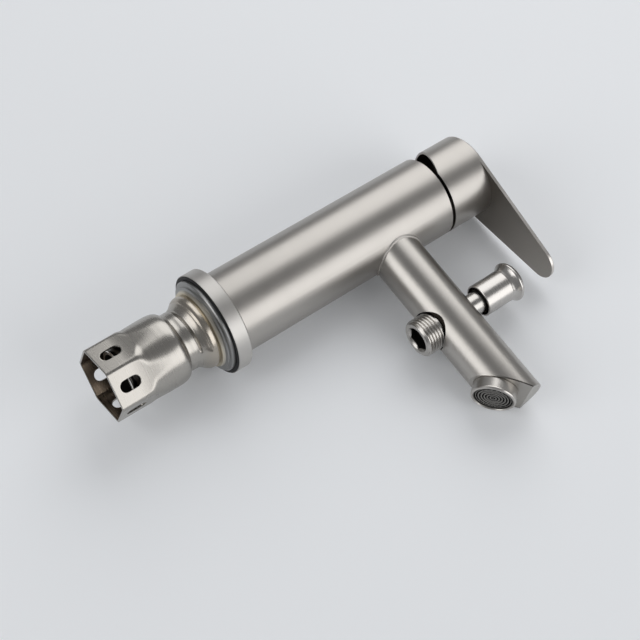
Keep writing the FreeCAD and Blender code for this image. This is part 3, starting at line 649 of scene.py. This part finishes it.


# A dark line is painted along the upper part of the oblique cut's edge: a painted reflection
# of the dark room in the rounded edge.
paint_cut_edge_reflection(spout_finish, painted_edge_reflection)
dress("spout_tube", spout_finish)
dress("spout_weld", brushed_steel("weld_ground", (0.500, 0.480, 0.455, 1.0), rough=0.52,
                                  fast="xyz", lines=700.0, depth=0.03))
dress("spout_end_cap", brushed_steel("plate_brushed", (0.414, 0.396, 0.370, 1.0), rough=0.36,
                                     fast="y", lines=2200.0))

# Aerator
# A turned collar screwed into the plate, with a moulded straightener inside that breaks
# the water into rings, and a rubber washer behind it.
aerator_shift = -0.0087
cut_along = Vector((math.cos(cut_slope), 0.0, math.sin(cut_slope)))
aerator_foot = cut_middle + cut_along * aerator_shift
insert_r, insert_face, insert_back = 0.01055, 0.0062, 0.0011
insert_rings, insert_spokes, rings_to, ring_sunk = 6, 18, 0.9, 0.0030
ring_level, ring_soft, spoke_level, spoke_soft, spoke_share = 0.62, 0.3, 0.72, 0.12, 0.8
rim_high, rim_soft, groove_from, groove_to, groove_soft = 0.00025, 0.02, 0.905, 0.968, 0.012
rings_soft, insert_skin = 0.03, 0.0004
insert_grey, slot_shade_colour = (0.185, 0.180, 0.170, 1.0), (0.022, 0.021, 0.020, 1.0)
dress("aerator_housing", brushed_steel("collar_turned", (0.500, 0.480, 0.455, 1.0), rough=0.30,
                                       fast="yz", lines=900.0, depth=0.008, streak=0.02,
                                       mottling=0.02))
dress("aerator_washer", gasket_rubber)


def insert_surface():
    """Disc in polar steps. The face stands at insert_face; rings are sunk into it where a
    cosine of the radius is low, the dips are bridged by spokes where a cosine of the angle
    is high, and a groove parts them from a plain rim. A flat back closes it."""
    columns, rows = 216, 100
    angle = np.linspace(0.0, 2.0 * np.pi, columns, endpoint=False)[None, :]
    reach = np.linspace(0.0, 1.0, rows)[:, None]
    wave = 0.5 + 0.5 * np.cos(2.0 * np.pi * reach * insert_rings / rings_to)
    dip = ease((ring_level - wave) / ring_soft) * ease((rings_to - reach) / rings_soft)
    shift = np.pi * np.floor(reach * insert_rings / rings_to)
    spoke = ease((np.cos(insert_spokes * angle + shift) - spoke_level) / spoke_soft)
    high = (insert_face + rim_high * ease((reach - rings_to) / rim_soft)
            - ring_sunk * dip * (1 - spoke_share * spoke))
    high = high - (ring_sunk * ease((reach - groove_from) / groove_soft)
                   * ease((groove_to - reach) / groove_soft))
    radius = insert_r * reach + 0.0 * angle
    back_r = np.array([[insert_r] * columns, [0.0] * columns])
    back_h = np.full((2, columns), insert_back)
    mesh = ring_grid(np.vstack([radius, back_r]), np.vstack([high, back_h]),
                     "aerator_straightener")
    # Faces sunk below the face, and the back, take the second finish, painted near black:
    # painted shade in the recesses.
    for face in mesh.polygons:
        face.material_index = int(face.center.z < insert_face - insert_skin)
    side = cut_normal.cross(cut_along)
    frame_at = Matrix((cut_along, side, cut_normal)).transposed().to_4x4()
    mesh.transform(Matrix.Translation(aerator_foot) @ frame_at)
    mesh.flip_normals()
    return mesh


def moulded_plastic(name, colour, rough, grain_scale=1800.0):
    """Moulded plastic: as the rubber, with a fainter grain in height and only slow, small
    changes of tone."""
    return black_rubber(name, colour, rough, grain_scale, relief=0.06, bloomed=1.08)


insert_plastic = moulded_plastic("straightener_plastic", insert_grey, rough=0.42)
insert_mesh = insert_surface()
add_piece(insert_mesh, insert_plastic, "tap", "aerator_insert", sharp=50.0)
# The sunk floors of the rings and the groove are painted near black: painted shade.
insert_mesh.materials.append(moulded_plastic("slot_painted_shade", slot_shade_colour, rough=0.50))

# Shower outlet
# A turned male end with a half inch pipe thread for a shower hose, screwed up into the
# valve block with a hexagon key through the socket in its end.
outlet_x, outlet_low, outlet_seat, outlet_top = 0.0668, 0.0876, 0.1000, 0.1032
outlet_crest, outlet_root, pipe_pitch = 0.0104775, 0.0096, 0.001814
outlet_thread_end, outlet_neck, run_out_slope, tooth_share = 0.0990, 0.0088, 2.0, 0.72
outlet_chamfer, outlet_chamfer_slope, outlet_face = 0.0013, 1.1, 0.0081
socket_half, socket_deep, outlet_bore, outlet_spigot = 0.0060, 0.0070, 0.0050, 0.0080
socket_mouth, mouth_slope, mouth_deep, mouth_pale = 0.0073, 0.9, 0.0020, 0.0010
socket_turn = math.radians(10.0)


def outlet_surface():
    """Outside: a thread whose radius is a clipped cosine of the height less the angle's
    share of the pitch, run out by a chamfer at each end. Then, as rings: the end face, a
    hexagon socket of radius half / cos(angle), its floor, the bore and the spigot."""
    columns, rows = 144, 150
    angle = np.linspace(0.0, 2.0 * np.pi, columns, endpoint=False)[None, :]
    height = np.linspace(outlet_seat, outlet_low, rows)[:, None]
    phase = 2.0 * np.pi * height / pipe_pitch - angle
    tooth = np.clip(0.5 + tooth_share * np.cos(phase), 0.0, 1.0)
    radius = outlet_root + (outlet_crest - outlet_root) * tooth
    chamfer = (outlet_crest - outlet_chamfer
               + outlet_chamfer_slope * (height - outlet_low))
    run_out = outlet_neck + run_out_slope * np.maximum(outlet_thread_end - height, 0.0)
    radius = np.minimum(radius, np.minimum(chamfer, run_out))
    hexagon = socket_half / np.cos(np.mod(angle - socket_turn, sixth) - sixth / 2.0)
    one = np.ones((1, columns))
    rings = [(outlet_face * one, outlet_low)]
    rings += [(np.maximum(hexagon, socket_mouth - mouth_slope * d), outlet_low + d)
              for d in np.linspace(0.0, mouth_deep, 6)]
    rings += [(hexagon, outlet_low + socket_deep * k / 4.0) for k in (2, 3, 4)]
    rings += [(outlet_bore * one, outlet_low + socket_deep), (outlet_bore * one, outlet_top),
              (outlet_spigot * one, outlet_top), (outlet_spigot * one, outlet_seat)]
    return ring_grid(np.vstack([radius] + [r for r, z in rings]),
                     np.vstack([height + 0.0 * radius] + [z * one for r, z in rings]),
                     "shower_outlet_thread", outlet_x)


outlet_finish = brushed_steel("outlet_turned", (0.459, 0.442, 0.418, 1.0), rough=0.29,
                              fast="z", lines=1200.0, depth=0.03)
outlet_mesh = outlet_surface()
outlet_mesh.flip_normals()
# Inside the socket, below its pale mouth, the steel is painted near black: painted shade in
# the deep hexagon.
socket_shade_finish = brushed_steel("socket_painted_shade", (0.12, 0.115, 0.108, 1.0), rough=0.35,
                              fast="z", lines=1200.0, depth=0.03)
add_piece(outlet_mesh, outlet_finish, "tap", "shower_outlet")
outlet_mesh.materials.append(socket_shade_finish)
# Faces inside the socket below its pale mouth take the painted shade.
for face in outlet_mesh.polygons:
    reach = math.hypot(face.center.x - outlet_x, face.center.y)
    face.material_index = int(reach < socket_mouth
                              and face.center.z > outlet_low + mouth_pale)

# Diverter
# A brass block holds the valve in the spout; it is painted near black, as painted shade where
# it shows round the outlet. A plated stem runs up through the bonnet, sealed by a rubber ring
# and pushed down by a spring, to the knob.
dress("diverter_bonnet", brushed_steel("bonnet_turned", (0.459, 0.444, 0.422, 1.0), rough=0.27,
                                       fast="z", lines=1400.0, depth=0.03))
# Painted near black: painted shade.
dress("diverter_block", brushed_steel("block_painted_shade", (0.014, 0.012, 0.010, 1.0), rough=0.40,
                                      fast="x", lines=900.0))
wire_finish = brushed_steel("drawn_wire", (0.488, 0.481, 0.466, 1.0), rough=0.22, fast="xyz",
                            lines=500.0)
dress("diverter_stem", wire_finish)
dress("bonnet_oring", gasket_rubber)
dress("plunger_seal", gasket_rubber)
spring_radius, spring_wire, spring_turns, end_turns_closed = 0.0043, 0.00035, 5.0, 0.9


def spring_surface(low, high):
    """Round wire wound into a coil: the wire's middle goes round at the coil's radius and
    rises from low to high. Its rise is slower at both ends, which closes the end turns.
    Two flat faces close the wire's ends."""
    steps, around = 300, 12
    along = np.linspace(0.0, 1.0, steps)[:, None]
    wound = 2.0 * np.pi * spring_turns * along
    slow = along - end_turns_closed * np.sin(2.0 * np.pi * along) / (2.0 * np.pi)
    middle = low + spring_wire + (high - low - 2.0 * spring_wire) * slow
    side = np.linspace(0.0, 2.0 * np.pi, around, endpoint=False)[None, :]
    reach = spring_radius + spring_wire * np.cos(side)
    points = np.stack([outlet_x + reach * np.cos(wound), reach * np.sin(wound),
                       middle + spring_wire * np.sin(side)], axis=-1).reshape(-1, 3)
    row, column = np.meshgrid(np.arange(steps - 1), np.arange(around), indexing="ij")
    right = (column + 1) % around
    faces = np.stack([row * around + column, (row + 1) * around + column,
                      (row + 1) * around + right, row * around + right],
                     axis=-1).reshape(-1, 4).tolist()
    faces.append(list(range(around)))
    faces.append(list(range(steps * around - 1, (steps - 1) * around - 1, -1)))
    mesh = bpy.data.meshes.new("diverter_spring_coil")
    mesh.from_pydata(points.tolist(), [], faces)
    mesh.polygons.foreach_set("use_smooth", np.ones(len(faces), dtype=bool))
    mesh.validate()
    return mesh


spring_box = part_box("diverter_spring")
spring_low, spring_high = spring_box[0][2], spring_box[1][2]
spring_piece = add_piece(spring_surface(spring_low, spring_high), wire_finish, "diverter",
                         "diverter_spring")
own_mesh(spring_piece)

# Knob
# Turned from bar and finely polished: a straight sleeve with a crisp edge, a hollow flare
# and a domed cap to pull on. It screws onto the stem, in line with the outlet.
knob_edge = 0.1476
knob_outline = [(0.0000, 0.1569), (0.0025, 0.15678), (0.0050, 0.15642), (0.0074, 0.1558),
                (0.0092, 0.15515), (0.0104, 0.15430), (0.0110, 0.15345), (0.0113, 0.15262),
                (0.0112, 0.15205), (0.0107, 0.15145), (0.01010, 0.15070), (0.00955, 0.14985),
                (0.00920, 0.14905), (0.00896, 0.14830), (0.00880, 0.14785)]
knob_sleeve = [(0.00915, 0.14750), (0.00915, 0.13075), (0.00890, 0.13050),
               (0.00830, 0.13050), (0.00830, 0.14190), (0.00250, 0.14190),
               (0.00250, 0.15040), (0.00000, 0.15040)]


def knob_surface():
    """Profile turned about the outlet's axis: a smooth cubic in the length along the
    outline for the cap and flare, then the sleeve and the bore as straight runs."""
    known = np.array(knob_outline)
    along = np.concatenate([[0.0], np.cumsum(np.hypot(*np.diff(known, axis=0).T))])
    at = np.linspace(0.0, along[-1], 90)
    radius = smooth_line(at, list(zip(along, known[:, 0])))
    height = smooth_line(at, list(zip(along, known[:, 1])))
    line_r, line_z = [], []
    for (r0, z0), (r1, z1) in zip(knob_sleeve, knob_sleeve[1:]):
        steps = np.linspace(0.0, 1.0, 8, endpoint=False)
        line_r += list(r0 + (r1 - r0) * steps)
        line_z += list(z0 + (z1 - z0) * steps)
    radius = np.concatenate([radius, line_r, [knob_sleeve[-1][0]]])
    height = np.concatenate([height, line_z, [knob_sleeve[-1][1]]])
    columns = 128
    mesh = ring_grid(np.repeat(np.maximum(radius, 0.0)[:, None], columns, axis=1),
                     np.repeat(height[:, None], columns, axis=1), "diverter_knob_turned",
                     outlet_x)
    mesh.flip_normals()
    return mesh


knob_finish = brushed_steel("knob_satin", (0.490, 0.472, 0.451, 1.0), rough=0.28, fast="z",
                            lines=2400.0, depth=0.008, streak=0.015, mottling=0.02)
cap_finish = brushed_steel("knob_polished", (0.540, 0.522, 0.500, 1.0), rough=0.25, fast="z",
                           lines=1600.0, depth=0.008, streak=0.015, mottling=0.02)
knob_mesh = knob_surface()
add_piece(knob_mesh, knob_finish, "diverter", "diverter_knob")
knob_mesh.materials.append(cap_finish)
for face in knob_mesh.polygons:
    face.material_index = int(face.center.z > knob_edge)

# Valve and cartridge
# Brass core brazed in the body, and on it the ceramic cartridge: base and seals, fixed and
# turning discs, the carrier, the guide with its pin, the barrel and the nut that holds it.
dress("valve_manifold", brushed_steel("core_brass", (0.420, 0.310, 0.160, 1.0), rough=0.34,
                                      fast="x", lines=900.0))
plastic_white = moulded_plastic("cartridge_plastic", (0.533, 0.525, 0.503, 1.0), rough=0.40)
# This black plastic dresses the guide, the barrel and its nut; its black also stands in as
# painted shade in the gap under the handle's skirt.
black_plastic_and_shade = moulded_plastic("barrel_plastic_and_shade", (0.020, 0.020, 0.021, 1.0), rough=0.38)
ceramic = moulded_plastic("lapped_ceramic", (0.607, 0.599, 0.577, 1.0), rough=0.16,
                          grain_scale=4000.0)
for node, finish in (("cartridge_base", plastic_white), ("disc_carrier", plastic_white),
                     ("cartridge_seals", gasket_rubber), ("fixed_disc", ceramic),
                     ("moving_disc", ceramic), ("stem_guide", black_plastic_and_shade),
                     ("cartridge_housing", black_plastic_and_shade), ("retaining_nut", black_plastic_and_shade),
                     ("stem_pin", wire_finish), ("cartridge_stem", wire_finish)):
    dress(node, finish)

# Handle
# One stainless casting: a round skirt, relieved at the back, under a flat blade that is
# brushed lengthwise. The underside of the blade is left as blasted, darker and duller, and is
# painted darker still towards the skirt as painted shade. The blade's narrow side is painted
# paler, a painted highlight.
handle_finish = brushed_steel("handle_brushed", body_steel, rough=0.36, fast="z", **belt_brush)
# Near the skirt the blasted colour is darker: painted shade.
blasted_near_painted_shade = (0.240, 0.220, 0.197, 1.0)
blasted_far = (0.385, 0.362, 0.333, 1.0)
blasted_rough = 0.42
# The blade's side is painted paler: a painted highlight.
blade_side_painted_highlight = (0.60, 0.575, 0.545, 1.0)
blade_from, blade_to, skirt_from, skirt_to = 0.026, 0.074, 0.022, 0.030
down_from, down_whole, upright_from, upright_whole = -0.90, -0.98, 0.30, 0.20


def dull_underside(steel, near, far, rough, edge):
    """Where the true surface faces straight down, mix to the blasted colour and a higher
    roughness. The colour goes from near, darkened with painted shade by the skirt, to far
    along the blade. The blade's narrow side, upright and outside the skirt, takes the paler
    edge colour, a painted highlight."""
    nodes, links = steel.node_tree.nodes, steel.node_tree.links
    shader = nodes["Principled BSDF"]
    plain = shader.inputs["Base Color"].links[0].from_socket
    gloss = shader.inputs["Roughness"].links[0].from_socket
    side = nodes.new("ShaderNodeNewGeometry")
    part = nodes.new("ShaderNodeSeparateXYZ")
    down = ramp(nodes, down_from, down_whole)
    tone = colour_mix(nodes)
    place = nodes.new("ShaderNodeTexCoord")
    where = nodes.new("ShaderNodeSeparateXYZ")
    along = ramp(nodes, blade_from, blade_to)
    length = colour_mix(nodes)
    length.inputs["A"].default_value = near
    length.inputs["B"].default_value = far
    links.new(place.outputs["Object"], where.inputs[0])
    links.new(where.outputs["X"], along.inputs["Value"])
    links.new(along.outputs["Result"], length.inputs["Factor"])
    links.new(length.outputs["Result"], tone.inputs["B"])
    dull = nodes.new("ShaderNodeMix")
    dull.inputs["B"].default_value = rough
    links.new(side.outputs["True Normal"], part.inputs[0])
    links.new(part.outputs["Z"], down.inputs["Value"])
    links.new(down.outputs["Result"], tone.inputs["Factor"])
    links.new(down.outputs["Result"], dull.inputs["Factor"])
    tilt = maths(nodes, "ABSOLUTE")
    upright = ramp(nodes, upright_from, upright_whole)
    outside = ramp(nodes, skirt_from, skirt_to)
    side_too = maths(nodes, "MULTIPLY")
    pale = colour_mix(nodes)
    pale.inputs["B"].default_value = edge
    links.new(part.outputs["Z"], tilt.inputs[0])
    links.new(tilt.outputs[0], upright.inputs["Value"])
    links.new(where.outputs["X"], outside.inputs["Value"])
    links.new(upright.outputs["Result"], side_too.inputs[0])
    links.new(outside.outputs["Result"], side_too.inputs[1])
    links.new(side_too.outputs[0], pale.inputs["Factor"])
    links.new(plain, pale.inputs["A"])
    links.new(pale.outputs["Result"], tone.inputs["A"])
    links.new(gloss, dull.inputs["A"])
    links.new(tone.outputs["Result"], shader.inputs["Base Color"])
    links.new(dull.outputs["Result"], shader.inputs["Roughness"])


dull_underside(handle_finish, blasted_near_painted_shade, blasted_far, blasted_rough, blade_side_painted_highlight)
dress("handle", handle_finish)
dress("handle_set_screw", brushed_steel("screw_bright", (0.592, 0.585, 0.570, 1.0), rough=0.14,
                                        fast="x", lines=900.0, depth=0.02))
